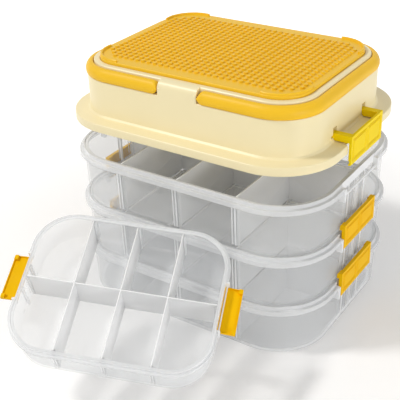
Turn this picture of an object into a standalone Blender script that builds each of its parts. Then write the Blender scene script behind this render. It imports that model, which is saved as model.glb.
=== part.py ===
"""Stackable building block storage box: three clear trays, a deep lid with a studded top, and a small tray in front.

The origin is the middle of the bottom tray's base. X runs along the long side, Y to the back, Z up.
"""

import math

import bmesh
import bpy
from mathutils import Matrix, Vector

MM = 0.001

# Clearances and cutting allowances
gap = 0.3 * MM
loose_gap = 0.5 * MM
overrun = 5.0 * MM
root = 1.0 * MM

# Studded plate
stud_pitch = 8.0 * MM
stud_size = 4.6 * MM
stud_height = 1.8 * MM
stud_columns = 32
stud_rows = 21
corner_steps = 3
plate_border = 10.5 * MM
plate_border_side = 18.5 * MM
plate_corner = 36.0 * MM
plate_thickness = 5.0 * MM
plate_half_x = (stud_columns - 1) * stud_pitch / 2 + plate_border
plate_half_y = (stud_rows - 1) * stud_pitch / 2 + plate_border_side

# Trays
tray_margin = 34.5 * MM
tray_half_x = plate_half_x + tray_margin
tray_half_y = plate_half_y + tray_margin
tray_corner = 72.0 * MM
tray_pitch = 65.0 * MM
tray_count = 3
wall = 2.5 * MM
floor_thickness = 2.5 * MM
foot_radius = 3.0 * MM
wall_foot_inset = 6.5 * MM
wall_top_inset = 5.0 * MM
flange_bottom = 56.0 * MM
flange_top = 62.0 * MM
flange_round = 0.8 * MM
lip_inset = 4.0 * MM
lip_thickness = 1.9 * MM
lip_top = 66.3 * MM
ledge_width = 4.3 * MM
ledge_thickness = 1.5 * MM
ledge_top = tray_pitch - gap

# Latch seats in the middle of each tray's short sides
seat_half = 42.2 * MM
lug_thickness = 4.0 * MM
lug_reach = 2.0 * MM
lug_top = flange_top
bar_radius = 1.4 * MM
bar_height = 51.5 * MM
lug_drop = 6.0 * MM
lug_bottom = bar_height - lug_drop
bar_outset = 3.5 * MM
catch_height = 4.2 * MM
catch_thickness = 1.4 * MM
catch_reach = 1.15 * MM

# Dividers
divider_thickness = 1.8 * MM
divider_top = 64.0 * MM
divider_spacing = 78.0 * MM
cross_dividers = 3
guide_depth = 4.5 * MM
guide_thickness = 1.2 * MM
guide_top = 60.0 * MM
side_rib_offset = 20.0 * MM
side_rib_width = 3.0 * MM
side_rib_depth = 1.6 * MM

# Lid
lid_hover = 41.0 * MM
lid_height = 73.5 * MM
lid_wall = 2.2 * MM
lid_wall_outset = 16.0 * MM
ring_outset = 7.5 * MM
ring_drop = 3.5 * MM
ring_round = 2.5 * MM
rebate_drop = 19.5 * MM
lid_flange_height = 10.0 * MM
lid_flange_plate = 2.5 * MM
lid_flange_round = 1.6 * MM
lid_fillet = 5.0 * MM
lid_skirt = 2.4 * MM
notch_depth = 4.5 * MM

# Carrying handles
handle_gap = 0.8 * MM
handle_width = 9.2 * MM
handle_top_drop = 5.5 * MM
handle_end_gap = 1.5 * MM
block_half = 25.0 * MM
peg_radius = 2.0 * MM
peg_root = 3.0 * MM

# Latches
latch_end_gap = 1.2 * MM
latch_half = seat_half - latch_end_gap
latch_height = 30.0 * MM
latch_thickness = 1.8 * MM
latch_skirt = 1.5 * MM
latch_drop = 3.0 * MM
latch_skirt_reach = 1.0 * MM
latch_ear_width = 8.0 * MM
latch_ear_height = 7.0 * MM
latch_ear_slope = 0.5 * MM
latch_skirt_depth = 2.2 * MM
panel_depth = 0.6 * MM
panel_margin = 4.0 * MM
panel_split = 3.0 * MM
hook_thickness = 1.5 * MM
pivot_drop = 58.0 * MM
pivot_inset = 1.0 * MM
ear_half_height = 4.0 * MM
pocket_gap = 1.0 * MM
pocket_rise = 10.0 * MM
pocket_wall = 2.0 * MM
pin_radius = 1.5 * MM
pin_length = 1.6 * MM
lid_latch_standoff = 1.3 * MM

# Small tray in front: a matching tray of the same form, held up and tipped before the stack
front_share = 0.648
front_yaw = math.radians(20.3)
front_tilt = math.radians(24.8)
front_roll = math.radians(5.2)
front_x = 1.7 * MM
front_hover = 47.0 * MM
front_gap = 1.0 * MM
front_latch_open = math.radians(95.0)

# Smoothness
corner_steps_shown = 5
round_steps = 8
sharp_angle = math.radians(35.0)

tray_wall_x = tray_half_x - wall_top_inset
bar_x = tray_wall_x + bar_outset
lid_skirt_bottom = (tray_count - 1) * tray_pitch + flange_top + loose_gap + lid_hover
plate_top = lid_skirt_bottom + lid_height


def clear_scene():
    for item in list(bpy.data.objects):
        bpy.data.objects.remove(item)


def plastic(name, color, roughness, alpha=1.0):
    material = bpy.data.materials.new(name)
    material.use_nodes = True
    shader = material.node_tree.nodes["Principled BSDF"]
    shader.inputs["Base Color"].default_value = (*color, 1.0)
    shader.inputs["Roughness"].default_value = roughness
    shader.inputs["Metallic"].default_value = 0.0
    shader.inputs["Alpha"].default_value = alpha
    return material


def finish_mesh(bm, name):
    bmesh.ops.recalc_face_normals(bm, faces=bm.faces)
    mesh = bpy.data.meshes.new(name)
    bm.to_mesh(mesh)
    bm.free()
    return mesh


def add_object(name, mesh, material, location=(0.0, 0.0, 0.0), parent=None):
    item = bpy.data.objects.new(name, mesh)
    bpy.context.scene.collection.objects.link(item)
    if not mesh.materials:
        mesh.materials.append(material)
    item.location = location
    item.parent = parent
    return item


def boolean_mesh(mesh, tools):
    """The mesh after each (operation, tool mesh), joined or cut in turn."""
    target = add_object("blank", mesh, None)
    helpers = []
    for operation, tool in tools:
        helper = add_object("helper", tool, None)
        helper.hide_render = True
        helper.display_type = "WIRE"
        helpers.append(helper)
        modifier = target.modifiers.new(operation.lower(), "BOOLEAN")
        modifier.operation = operation
        modifier.object = helper
        modifier.solver = "EXACT"
    bpy.context.view_layer.update()
    graph = bpy.context.evaluated_depsgraph_get()
    result = bpy.data.meshes.new_from_object(target.evaluated_get(graph))
    result.materials.clear()
    result.name = mesh.name
    for item in [target, *helpers]:
        bpy.data.objects.remove(item)
    return result


def smooth(mesh):
    mesh.shade_smooth()
    mesh.set_sharp_from_angle(angle=sharp_angle)
    return mesh


def rounded_outline(half_x, half_y, radius):
    """Points (x, y) round a rectangle with round corners, counterclockwise from the right side."""
    points = []
    for turn, (sx, sy) in enumerate(((1, 1), (-1, 1), (-1, -1), (1, -1))):
        center = Vector((sx * (half_x - radius), sy * (half_y - radius)))
        for step in range(corner_steps_shown + 1):
            angle = (turn + step / corner_steps_shown) * math.pi / 2
            points.append(center + radius * Vector((math.cos(angle), math.sin(angle))))
    return points


def loft_rings(name, half_x, half_y, radius, profile):
    """A body of stacked round-cornered rings. Each profile point is (inset from the outline, height)."""
    bm = bmesh.new()
    rings = []
    for inset, height in profile:
        outline = rounded_outline(half_x - inset, half_y - inset, radius - inset)
        rings.append([bm.verts.new((x, y, height)) for x, y in outline])
    count = len(rings[0])
    for lower, upper in zip(rings, rings[1:]):
        for i in range(count):
            j = (i + 1) % count
            bm.faces.new((lower[i], lower[j], upper[j], upper[i]))
    bm.faces.new(rings[0])
    bm.faces.new(rings[-1])
    return finish_mesh(bm, name)


def add_box(bm, low, high):
    low, high = Vector(low), Vector(high)
    made = bmesh.ops.create_cube(bm, size=1.0)
    bmesh.ops.scale(bm, vec=high - low, verts=made["verts"])
    bmesh.ops.translate(bm, vec=(low + high) / 2, verts=made["verts"])


def add_rod(bm, center, radius, length):
    """A rod along Y."""
    turn = Matrix.Translation(center) @ Matrix.Rotation(math.pi / 2, 4, "X")
    bmesh.ops.create_cone(
        bm, cap_ends=True, segments=round_steps, radius1=radius, radius2=radius, depth=length, matrix=turn
    )


def mirrored(bm, x=False, y=False):
    """Adds the mirror image of every shape so far."""
    for axis, wanted in (("X", x), ("Y", y)):
        if wanted:
            copied = bmesh.ops.duplicate(bm, geom=bm.verts[:] + bm.edges[:] + bm.faces[:])
            verts = [item for item in copied["geom"] if isinstance(item, bmesh.types.BMVert)]
            faces = [item for item in copied["geom"] if isinstance(item, bmesh.types.BMFace)]
            flip = Vector((-1 if axis == "X" else 1, -1 if axis == "Y" else 1, 1))
            bmesh.ops.scale(bm, vec=flip, verts=verts)
            bmesh.ops.reverse_faces(bm, faces=faces)


def prism_mesh(name, outline, axis, low, high):
    """A flat outline pushed along X or Y, from low to high. Its points are the other two coordinates."""
    bm = bmesh.new()
    add_prism(bm, outline, axis, low, high)
    return finish_mesh(bm, name)


def add_prism(bm, outline, axis, low, high):
    ends = []
    for depth in (low, high):
        if axis == "X":
            ends.append([bm.verts.new((depth, a, b)) for a, b in outline])
        else:
            ends.append([bm.verts.new((a, depth, b)) for a, b in outline])
    count = len(outline)
    sides = [bm.faces.new(ends[0]), bm.faces.new(ends[1])]
    for i in range(count):
        j = (i + 1) % count
        sides.append(bm.faces.new((ends[0][i], ends[0][j], ends[1][j], ends[1][i])))
    bmesh.ops.recalc_face_normals(bm, faces=sides)


def tray_profile():
    """Up the outer wall, over the flange and the lip, and down the inner wall to the floor."""
    half_turn = math.pi / 4
    foot_mid = foot_radius * (1 - math.sin(half_turn))
    lip_inner = lip_inset + lip_thickness
    ledge_inner = lip_inner + ledge_width
    inner_top = wall_top_inset + wall
    inner_foot = wall_foot_inset + wall
    return (
        (wall_foot_inset + foot_radius, 0.0),
        (wall_foot_inset + foot_mid, foot_mid),
        (wall_foot_inset, foot_radius),
        (wall_top_inset, flange_bottom),
        (flange_round, flange_bottom),
        (0.0, flange_bottom + flange_round),
        (0.0, flange_top - flange_round),
        (flange_round, flange_top),
        (lip_inset, flange_top),
        (lip_inset, lip_top),
        (lip_inner, lip_top),
        (lip_inner, ledge_top),
        (ledge_inner, ledge_top),
        (ledge_inner, ledge_top - ledge_thickness),
        (inner_top, ledge_top - ledge_thickness - (ledge_inner - inner_top)),
        (inner_foot, floor_thickness + foot_radius),
        (inner_foot + foot_radius, floor_thickness),
    )


def divider_places():
    middle = (cross_dividers - 1) / 2
    return [(i - middle) * divider_spacing for i in range(cross_dividers)]


def rib_mesh():
    """Pairs of upright ribs that hold the dividers' ends, and two plain ribs on each short side."""
    bm = bmesh.new()
    start = wall_top_inset + wall - loose_gap
    low = floor_thickness - root
    near = divider_thickness / 2 + gap
    far = near + guide_thickness
    depth = lip_inset + lip_thickness + ledge_width + guide_depth
    side_depth = wall_foot_inset + wall + side_rib_depth
    for place in divider_places():
        add_box(bm, (place + near, tray_half_y - depth, low), (place + far, tray_half_y - start, guide_top))
        add_box(bm, (place - far, tray_half_y - depth, low), (place - near, tray_half_y - start, guide_top))
    mirrored(bm, y=True)
    sides = bmesh.new()
    add_box(sides, (tray_half_x - depth, near, low), (tray_half_x - start, far, guide_top))
    rib_far = side_rib_offset + side_rib_width
    add_box(sides, (tray_half_x - side_depth, side_rib_offset, low), (tray_half_x - start, rib_far, guide_top))
    mirrored(sides, x=True, y=True)
    spare = bpy.data.meshes.new("sides")
    sides.to_mesh(spare)
    sides.free()
    bm.from_mesh(spare)
    bpy.data.meshes.remove(spare)
    return finish_mesh(bm, "ribs")


def lug_mesh():
    """Lugs at the ends of both latch seats, and the catches low on the short sides."""
    bm = bmesh.new()
    inner = tray_half_x - wall_top_inset - root
    outer = tray_half_x + lug_reach
    add_box(bm, (inner, seat_half, lug_bottom), (outer, seat_half + lug_thickness, lug_top))
    catch_x = tray_half_x - wall_foot_inset
    low = (catch_x - root, latch_half - latch_ear_width, catch_height)
    add_box(bm, low, (catch_x + catch_reach, latch_half, catch_height + catch_thickness))
    mirrored(bm, x=True, y=True)
    return finish_mesh(bm, "lugs")


def bar_mesh():
    bm = bmesh.new()
    add_rod(bm, (bar_x, 0.0, bar_height), bar_radius, 2 * (seat_half + lug_thickness / 2))
    mirrored(bm, x=True)
    return finish_mesh(bm, "bars")


def seat_cutter():
    bm = bmesh.new()
    low = (tray_wall_x + loose_gap, -seat_half, flange_bottom - overrun)
    add_box(bm, low, (tray_half_x + overrun, seat_half, lip_top + overrun))
    mirrored(bm, x=True)
    return finish_mesh(bm, "seat cutter")


def tray_mesh():
    shell = loft_rings("tray", tray_half_x, tray_half_y, tray_corner, tray_profile())
    steps = (
        ("UNION", rib_mesh()),
        ("DIFFERENCE", seat_cutter()),
        ("UNION", lug_mesh()),
        ("UNION", bar_mesh()),
    )
    return smooth(boolean_mesh(shell, steps))


def divider_mesh(name, half_length, notches, open_top):
    """An upright plate along X with a half-depth notch at each place where another divider crosses."""
    low = floor_thickness + gap
    middle = (low + divider_top) / 2
    half_notch = divider_thickness / 2 + gap
    edge, depth = (divider_top, middle - gap) if open_top else (low, middle + gap)
    notched = []
    for place in notches:
        notched += [(place - half_notch, edge), (place - half_notch, depth)]
        notched += [(place + half_notch, depth), (place + half_notch, edge)]
    top = [(-half_length, divider_top), (half_length, divider_top)]
    bottom = [
        (half_length, low + foot_radius),
        (half_length - foot_radius, low),
        (foot_radius - half_length, low),
        (-half_length, low + foot_radius),
    ]
    if open_top:
        outline = [top[0], *notched, top[1], *bottom]
    else:
        outline = [*top, *bottom[:2], *notched[::-1], *bottom[2:]]
    return prism_mesh(name, outline, "Y", -divider_thickness / 2, divider_thickness / 2)


def spine_mesh():
    ledge = lip_inset + lip_thickness + ledge_width
    return divider_mesh("spine", tray_half_x - ledge - loose_gap, divider_places(), True)


def cross_mesh():
    ledge = lip_inset + lip_thickness + ledge_width
    mesh = divider_mesh("cross", tray_half_y - ledge - loose_gap, [0.0], False)
    mesh.transform(Matrix.Rotation(math.pi / 2, 4, "Z"))
    return mesh


def add_ears(bm, outline):
    add_prism(bm, outline, "Y", latch_half - latch_ear_width, latch_half)
    mirrored(bm, y=True)


def panel_cutter(face, low, high):
    """Two shallow panels in the outer face."""
    bm = bmesh.new()
    inner = panel_split / 2
    outer = latch_half - panel_margin
    bottom, top = low + panel_margin, high - panel_margin
    add_box(bm, (face - panel_depth, inner, bottom), (face + overrun, outer, top))
    mirrored(bm, y=True)
    return finish_mesh(bm, "panels")


def latch_pan(name, face, low, high, skirt_low, skirt_depth):
    """The plate with its thin skirt along the top edge and down both ends."""
    back = face - latch_thickness
    bm = bmesh.new()
    add_box(bm, (back, -latch_half, low), (face, latch_half, high))
    pan = finish_mesh(bm, name)
    skirts = bmesh.new()
    inner = back - skirt_depth
    add_box(skirts, (inner, latch_half - latch_skirt, skirt_low), (face - root, latch_half, high))
    mirrored(skirts, y=True)
    rim = bmesh.new()
    add_box(rim, (inner, -latch_half, high - latch_skirt), (face - root, latch_half, high))
    return pan, (finish_mesh(skirts, "end skirts"), finish_mesh(rim, "top skirt"))


def tray_latch_mesh():
    """Round the hinge bar, at the origin, with two ears at the top that hook over the next unit's catches."""
    face = lug_reach + tray_half_x - bar_x
    low = -latch_drop
    high = low + latch_height
    pan, skirts = latch_pan("tray latch", face, low, high, bar_radius + loose_gap, latch_skirt_depth)
    jaw = bmesh.new()
    add_box(jaw, (-latch_skirt_reach, -latch_half, low), (face - root, latch_half, low + latch_skirt - gap))
    ears = bmesh.new()
    catch_x = tray_half_x - wall_foot_inset + catch_reach + loose_gap - bar_x
    bottom = high - latch_ear_height
    outline = (
        (catch_x, bottom),
        (face - root, bottom),
        (face - root, high),
        (catch_x + 3 * latch_ear_slope, high),
        (catch_x + latch_ear_slope, high - latch_skirt),
    )
    add_ears(ears, outline)
    steps = [("UNION", skirt) for skirt in skirts]
    steps.append(("UNION", finish_mesh(jaw, "jaw")))
    steps.append(("UNION", finish_mesh(ears, "ears")))
    steps.append(("DIFFERENCE", panel_cutter(face, low, high)))
    return smooth(boolean_mesh(pan, steps))


def lid_latch_mesh():
    """Hangs from two pins, at the origin, with a hook at its foot for the bar of the tray below."""
    pivot_x, pivot_z = lid_pivot()
    face = lug_reach + tray_half_x + lid_latch_standoff - pivot_x
    back = face - latch_thickness
    bar_foot = (tray_count - 1) * tray_pitch + bar_height + lid_hover - bar_radius - pivot_z
    hook_top = bar_foot - loose_gap
    low = hook_top - hook_thickness
    high = ear_half_height
    hook_end = bar_x + bar_radius + loose_gap - pivot_x
    skirt_low = hook_top + 2 * (loose_gap + bar_radius)
    pan, skirts = latch_pan("lid latch", face, low, high, skirt_low, back - hook_end)
    hook = bmesh.new()
    add_box(hook, (hook_end, -latch_half, low), (back + root, latch_half, hook_top))
    ears = bmesh.new()
    steps_round = round_steps // 2
    arc = [math.pi / 2 + math.pi * i / steps_round for i in range(steps_round + 1)]
    outline = [(ear_half_height * math.cos(a), ear_half_height * math.sin(a)) for a in arc]
    outline += [(back + root, -ear_half_height), (back + root, ear_half_height)]
    add_ears(ears, outline)
    pins = bmesh.new()
    add_rod(pins, (0.0, latch_half + (pin_length - root) / 2, 0.0), pin_radius, pin_length + root)
    mirrored(pins, y=True)
    steps = [("UNION", skirt) for skirt in skirts]
    steps.append(("UNION", finish_mesh(hook, "hook")))
    steps.append(("UNION", finish_mesh(ears, "ears")))
    steps.append(("UNION", finish_mesh(pins, "pins")))
    steps.append(("DIFFERENCE", panel_cutter(face, low, high)))
    return smooth(boolean_mesh(pan, steps))


def lid_pivot():
    return plate_half_x + lid_wall_outset - pivot_inset, plate_top - pivot_drop


def hood_profile():
    """From the plate's recess over the ring, down the wall and the flange, and back up inside."""
    plate_gap = loose_gap
    seat = -plate_thickness - gap
    round_mid = ring_round * (1 - math.sin(math.pi / 4))
    flange_out = tray_half_x - plate_half_x
    flange_top_z = lid_flange_height - lid_height
    fillet_mid = lid_fillet * (1 - math.sin(math.pi / 4))
    flange_mid = lid_flange_round * (1 - math.sin(math.pi / 4))
    ring_inner = ring_outset - lid_wall
    wall_inner = lid_wall_outset - lid_wall
    outer = (
        (plate_gap, seat),
        (plate_gap, -ring_drop),
        (ring_outset - ring_round, -ring_drop),
        (ring_outset - round_mid, -ring_drop - round_mid),
        (ring_outset, -ring_drop - ring_round),
        (ring_outset, -rebate_drop),
        (lid_wall_outset, -rebate_drop),
        (lid_wall_outset, flange_top_z + lid_fillet),
        (lid_wall_outset + fillet_mid, flange_top_z + fillet_mid),
        (lid_wall_outset + lid_fillet, flange_top_z),
        (flange_out - lid_flange_round, flange_top_z),
        (flange_out - flange_mid, flange_top_z - flange_mid),
        (flange_out, flange_top_z - lid_flange_round),
        (flange_out, -lid_height),
    )
    inner = (
        (flange_out - lid_skirt, -lid_height),
        (flange_out - lid_skirt, flange_top_z - lid_flange_plate),
        (wall_inner, flange_top_z - lid_flange_plate),
        (wall_inner, -rebate_drop - lid_wall),
        (ring_inner, -rebate_drop - lid_wall),
        (ring_inner, seat - lid_wall),
    )
    return tuple((-outset, height) for outset, height in outer + inner)


def block_mesh():
    """The blocks in the middle of the front and back that both handles turn against."""
    bm = bmesh.new()
    inner = plate_half_y + ring_outset - lid_wall / 2
    low = (-block_half, inner, -rebate_drop - lid_wall / 2)
    add_box(bm, low, (block_half, plate_half_y + lid_wall_outset, -ring_drop - gap))
    edges = [edge for edge in bm.edges if is_top_front(edge)]
    bmesh.ops.bevel(
        bm, geom=edges, offset=ring_round, segments=2, profile=0.5, affect="EDGES", material=-1
    )
    mirrored(bm, y=True)
    return finish_mesh(bm, "blocks")


def is_top_front(edge):
    middle = (edge.verts[0].co + edge.verts[1].co) / 2
    low_enough = middle.z > -ring_drop - loose_gap
    return low_enough and middle.y > plate_half_y + lid_wall_outset - gap


def pocket_housings():
    pivot_x = plate_half_x + lid_wall_outset - pivot_inset
    depth = ear_half_height + loose_gap + pocket_wall
    bm = bmesh.new()
    side = latch_half + loose_gap + pocket_wall
    other = latch_half - latch_ear_width - loose_gap - pocket_wall
    low = (pivot_x - depth, other, -pivot_drop - ear_half_height - pocket_gap - pocket_wall)
    high = (plate_half_x + lid_wall_outset - lid_wall / 2, side, -pivot_drop + pocket_rise + pocket_wall)
    add_box(bm, low, high)
    mirrored(bm, x=True, y=True)
    return finish_mesh(bm, "housings")


def pocket_cutter():
    pivot_x = plate_half_x + lid_wall_outset - pivot_inset
    depth = ear_half_height + loose_gap
    bm = bmesh.new()
    low = (pivot_x - depth, latch_half - latch_ear_width - loose_gap, -pivot_drop - ear_half_height - pocket_gap)
    high = (plate_half_x + lid_wall_outset + overrun, latch_half + loose_gap, -pivot_drop + pocket_rise)
    add_box(bm, low, high)
    mirrored(bm, x=True, y=True)
    return finish_mesh(bm, "pockets")


def pin_hole_cutter():
    pivot_x = plate_half_x + lid_wall_outset - pivot_inset
    bm = bmesh.new()
    add_rod(bm, (pivot_x, latch_half + pocket_wall / 2, -pivot_drop), pin_radius + gap, pocket_wall + overrun)
    mirrored(bm, x=True, y=True)
    return finish_mesh(bm, "pin holes")


def peg_hole_cutter():
    x, z = handle_pivot()
    bm = bmesh.new()
    middle = plate_half_y + ring_outset - lid_wall / 2
    add_rod(bm, (x, middle, z), peg_radius + gap, lid_wall + overrun)
    mirrored(bm, x=True, y=True)
    return finish_mesh(bm, "peg holes")


def notch_cutter():
    """Cuts the flange away in the middle of both short sides, where the latches hang."""
    bm = bmesh.new()
    low = (tray_half_x - notch_depth, -seat_half - loose_gap, -lid_height - overrun)
    high = (tray_half_x + overrun, seat_half + loose_gap, lid_flange_height - lid_height + gap)
    add_box(bm, low, high)
    mirrored(bm, x=True)
    return finish_mesh(bm, "notches")


def hood_mesh():
    shell = loft_rings("hood", plate_half_x, plate_half_y, plate_corner, hood_profile())
    steps = (
        ("UNION", block_mesh()),
        ("UNION", pocket_housings()),
        ("DIFFERENCE", pocket_cutter()),
        ("DIFFERENCE", pin_hole_cutter()),
        ("DIFFERENCE", peg_hole_cutter()),
        ("DIFFERENCE", notch_cutter()),
    )
    return smooth(boolean_mesh(shell, steps))


def stud_spans():
    """For each row of studs, the first and the last column: each corner leaves a few studs out."""
    spans = []
    for row in range(stud_rows):
        from_edge = min(row, stud_rows - 1 - row)
        skipped = max(corner_steps - 1 - from_edge, 0)
        spans.append((skipped, stud_columns - 1 - skipped))
    return spans


def add_stud(bm, x, y):
    """Four verts on the plate and the stud's sides and top above them."""
    half = stud_size / 2
    corners = ((-half, -half), (half, -half), (half, half), (-half, half))
    foot = [bm.verts.new((x + a, y + b, 0.0)) for a, b in corners]
    head = [bm.verts.new((x + a, y + b, stud_height)) for a, b in corners]
    for i in range(4):
        j = (i + 1) % 4
        bm.faces.new((foot[i], foot[j], head[j], head[i]))
    bm.faces.new(head)
    return foot


def add_stud_field(bm):
    """All studs with the plate's face between them. Returns the loop of verts round the field."""
    rows = []
    for row, (first, last) in enumerate(stud_spans()):
        y = (row - (stud_rows - 1) / 2) * stud_pitch
        places = [(column - (stud_columns - 1) / 2) * stud_pitch for column in range(first, last + 1)]
        rows.append([add_stud(bm, x, y) for x in places])
    for studs in rows:
        for left, right in zip(studs, studs[1:]):
            bm.faces.new((left[1], right[0], right[3], left[2]))
    for lower, upper in zip(rows, rows[1:]):
        top_edge = [vert for foot in lower for vert in (foot[3], foot[2])]
        bottom_edge = [vert for foot in upper for vert in (foot[0], foot[1])]
        bm.faces.new(top_edge + bottom_edge[::-1])
    right_side = [vert for studs in rows for vert in (studs[-1][1], studs[-1][2])]
    left_side = [vert for studs in rows for vert in (studs[0][0], studs[0][3])]
    bottom_side = [vert for foot in rows[0] for vert in (foot[0], foot[1])]
    top_side = [vert for foot in rows[-1] for vert in (foot[3], foot[2])]
    loop = bottom_side[:-1] + right_side[:-1] + top_side[:0:-1] + left_side[:0:-1]
    return loop


def baseplate_mesh():
    bm = bmesh.new()
    field = add_stud_field(bm)
    outline = rounded_outline(plate_half_x, plate_half_y, plate_corner)
    rim = [bm.verts.new((x, y, 0.0)) for x, y in outline]
    foot = [bm.verts.new((x, y, -plate_thickness)) for x, y in outline]
    edges = []
    for loop in (field, rim):
        for a, b in zip(loop, loop[1:] + loop[:1]):
            edges.append(bm.edges.get((a, b)) or bm.edges.new((a, b)))
    bmesh.ops.triangle_fill(bm, use_beauty=True, use_dissolve=False, edges=edges)
    for i in range(len(rim)):
        j = (i + 1) % len(rim)
        bm.faces.new((foot[i], foot[j], rim[j], rim[i]))
    bm.faces.new(foot[::-1])
    return finish_mesh(bm, "baseplate")


def handle_pivot():
    """(x, z) of the right handle's pegs, from the plate's top face."""
    height = rebate_drop - gap - handle_top_drop
    return block_half + handle_end_gap + height / 2, -handle_top_drop - height / 2


def handle_section():
    """The handle's bulged section as (outset from the plate's edge, height)."""
    inner = ring_outset + handle_gap
    bottom = -rebate_drop + gap
    height = -handle_top_drop - bottom
    section_shares = (
        (0.0, 0.93),
        (0.1, 1.0),
        (0.38, 0.99),
        (0.66, 0.87),
        (0.9, 0.64),
        (1.0, 0.4),
        (0.98, 0.16),
        (0.86, 0.0),
        (0.0, 0.0),
    )
    return [(inner + a * handle_width, bottom + b * height) for a, b in section_shares]


def handle_stations():
    """(place on the plate's edge, outward direction, height share) from the front end round to the back end."""
    pivot_x, _ = handle_pivot()
    radius = pivot_x - block_half - handle_end_gap
    straight_x = plate_half_x - plate_corner
    straight_y = plate_half_y - plate_corner
    arm = []
    for angle in (80, 55, 30, 0):
        turn = math.radians(angle)
        place = Vector((pivot_x - radius * math.sin(turn), -plate_half_y))
        arm.append((place, Vector((0.0, -1.0)), math.cos(turn)))
    corner = []
    for step in range(corner_steps_shown + 1):
        angle = -math.pi / 2 + step / corner_steps_shown * math.pi / 2
        out = Vector((math.cos(angle), math.sin(angle)))
        corner.append((Vector((straight_x, -straight_y)) + plate_corner * out, out, 1.0))
    half = arm + corner
    back = [(Vector((p.x, -p.y)), Vector((o.x, -o.y)), share) for p, o, share in reversed(half)]
    return half + back


def handle_mesh():
    """The right handle, with the line through its pegs at the origin."""
    pivot_x, pivot_z = handle_pivot()
    section = handle_section()
    bm = bmesh.new()
    rings = []
    for place, out, share in handle_stations():
        ring = []
        for outset, height in section:
            spot = place + out * outset
            ring.append(bm.verts.new((spot.x - pivot_x, spot.y, (height - pivot_z) * share)))
        rings.append(ring)
    count = len(section)
    for first, second in zip(rings, rings[1:]):
        for i in range(count):
            j = (i + 1) % count
            bm.faces.new((first[i], first[j], second[j], second[i]))
    bm.faces.new(rings[0])
    bm.faces.new(rings[-1])
    bar = finish_mesh(bm, "handle")
    pegs = bmesh.new()
    outer = plate_half_y + ring_outset + handle_gap + peg_root
    inner = plate_half_y + ring_outset - lid_wall - gap
    add_rod(pegs, (0.0, (outer + inner) / 2, 0.0), peg_radius, outer - inner)
    mirrored(pegs, y=True)
    return smooth(boolean_mesh(bar, [("UNION", finish_mesh(pegs, "pegs"))]))


def add_stack_tray(name, height, meshes, materials, with_latches):
    frame = bpy.data.objects.new(name + "_place", None)
    bpy.context.scene.collection.objects.link(frame)
    frame.location = (0.0, 0.0, height)
    add_tray_pieces(name, frame, meshes, materials)
    if with_latches:
        add_tray_latches(name, frame, meshes, materials, 0.0)
    return frame


def add_tray_pieces(name, frame, meshes, materials):
    add_object(name + "_shell", meshes["tray"], materials["clear"], parent=frame)
    add_object(name + "_spine_divider", meshes["spine"], materials["divider"], parent=frame)
    for label, place in zip(("left", "middle", "right"), divider_places()):
        spot = (place * meshes["share"], 0.0, 0.0)
        add_object(f"{name}_{label}_divider", meshes["cross"], materials["divider"], spot, frame)


def add_tray_latches(name, frame, meshes, materials, opened):
    for label, side in (("right", 1), ("left", -1)):
        spot = Vector((side * bar_x, 0.0, bar_height)) * meshes["share"]
        latch = add_object(f"{name}_{label}_latch", meshes["latch"], materials["yellow"], spot, frame)
        latch.rotation_euler = (0.0, opened, 0.0 if side > 0 else math.pi)


def scaled_meshes(meshes, share):
    """Copies of a tray's meshes at the share given."""
    copies = {"share": share}
    for key, mesh in meshes.items():
        if key != "share":
            copies[key] = mesh.copy()
            copies[key].transform(Matrix.Scale(share, 4))
    return copies


def outline_reach(row, half_x, half_y, radius, height):
    """How far a round-cornered outline reaches along a world direction, given in the tray's own axes."""
    across = math.hypot(row[0], row[1])
    return abs(row[0]) * (half_x - radius) + abs(row[1]) * (half_y - radius) + radius * across + row[2] * height


def tray_reach(row):
    """How far a tray's outer wall, flange and lip reach along a world direction."""
    return max(
        outline_reach(row, tray_half_x - inset, tray_half_y - inset, tray_corner - inset, height)
        for inset, height in tray_profile()
    )


def front_tray_matrix():
    """The small tray hovers and tips forwards, clear of the way in which the stack's trays lift."""
    turn = (
        Matrix.Rotation(front_yaw, 3, "Z")
        @ Matrix.Rotation(front_tilt, 3, "X")
        @ Matrix.Rotation(front_roll, 3, "Y")
    )
    down = [-value for value in turn[2]]
    height = front_hover + tray_reach(down) * front_share
    depth = -tray_half_y - front_gap - tray_reach(turn[1]) * front_share
    return Matrix.Translation((front_x, depth, height)) @ turn.to_4x4()


def add_front_tray(meshes, materials):
    frame = bpy.data.objects.new("front_tray_place", None)
    bpy.context.scene.collection.objects.link(frame)
    frame.matrix_world = front_tray_matrix()
    small = scaled_meshes(meshes, front_share)
    add_tray_pieces("front_tray", frame, small, materials)
    add_tray_latches("front_tray", frame, small, materials, front_latch_open)


def add_lid(materials):
    frame = bpy.data.objects.new("lid_place", None)
    bpy.context.scene.collection.objects.link(frame)
    frame.location = (0.0, 0.0, plate_top)
    add_object("lid_hood", hood_mesh(), materials["cream"], parent=frame)
    add_object("studded_baseplate", baseplate_mesh(), materials["amber"], parent=frame)
    handle = handle_mesh()
    pivot_x, pivot_z = handle_pivot()
    latch = lid_latch_mesh()
    latch_x, latch_z = lid_pivot()
    for label, side in (("right", 1), ("left", -1)):
        turned = 0.0 if side > 0 else math.pi
        spot = (side * pivot_x, 0.0, pivot_z)
        piece = add_object(f"{label}_handle", handle, materials["amber"], spot, frame)
        piece.rotation_euler.z = turned
        spot = (side * latch_x, 0.0, latch_z - plate_top)
        piece = add_object(f"lid_{label}_latch", latch, materials["yellow"], spot, frame)
        piece.rotation_euler.z = turned


def make_materials():
    return {
        "clear": plastic("frosted clear plastic", (0.86, 0.88, 0.90), 0.35, 0.35),
        "divider": plastic("milky divider plastic", (0.90, 0.91, 0.92), 0.40, 0.6),
        "cream": plastic("cream plastic", (0.92, 0.84, 0.58), 0.38),
        "amber": plastic("amber plastic", (0.93, 0.58, 0.10), 0.30),
        "yellow": plastic("yellow plastic", (0.93, 0.68, 0.03), 0.32),
    }


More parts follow.
